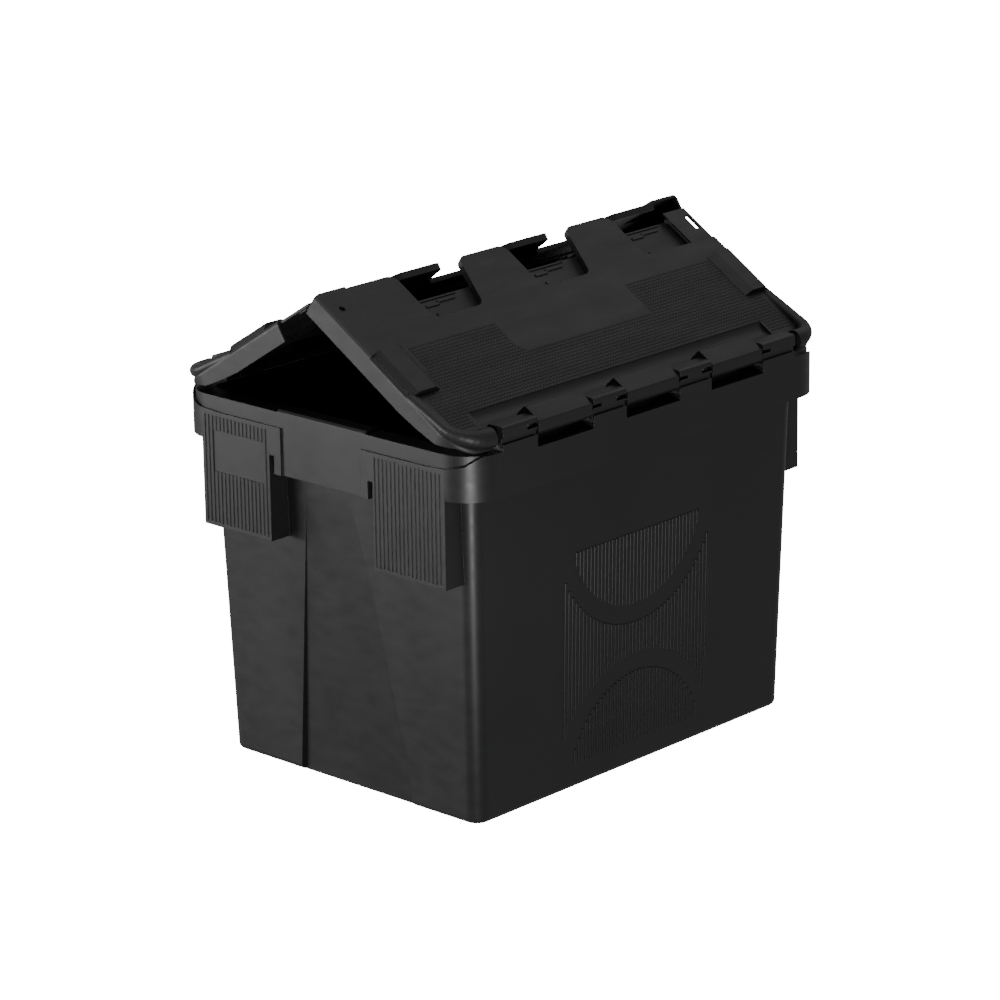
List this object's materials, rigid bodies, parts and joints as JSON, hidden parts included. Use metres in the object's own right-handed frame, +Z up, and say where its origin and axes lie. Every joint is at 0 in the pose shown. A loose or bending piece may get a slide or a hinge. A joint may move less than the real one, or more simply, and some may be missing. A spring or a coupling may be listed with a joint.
{
  "type": "attached lid tote",
  "caption": "Nestable rectangular plastic tote with hinged interlocking lid halves on wire rods, end grips and seal holes.",
  "frame": {"origin": "middle of the base, on the surface the tote stands on", "axes": "+X along the long side, +Y along the short side, +Z up"},
  "size_m": [0.4, 0.3002, 0.3847],
  "materials": {
    "black_plastic": "satin black moulded polypropylene",
    "rod_steel": "bright drawn steel wire"
  },
  "bodies": {
    "tub": {"tub": "black_plastic", "hinge_rod_front": "rod_steel", "hinge_rod_rear": "rod_steel"},
    "lid_front": {"lid_front": "black_plastic"},
    "lid_rear": {"lid_rear": "black_plastic"}
  },
  "joints": [
    {"name": "lid_front_hinge", "type": "hinge", "parent": "tub", "child": "lid_front", "pos_m": [0, -0.1423, 0.298], "axis": [1, 0, 0], "range_deg": [-32.3, 208]},
    {"name": "lid_rear_hinge", "type": "hinge", "parent": "tub", "child": "lid_rear", "pos_m": [0, 0.1423, 0.298], "axis": [-1, 0, 0], "range_deg": [-32.3, 208]}
  ]
}
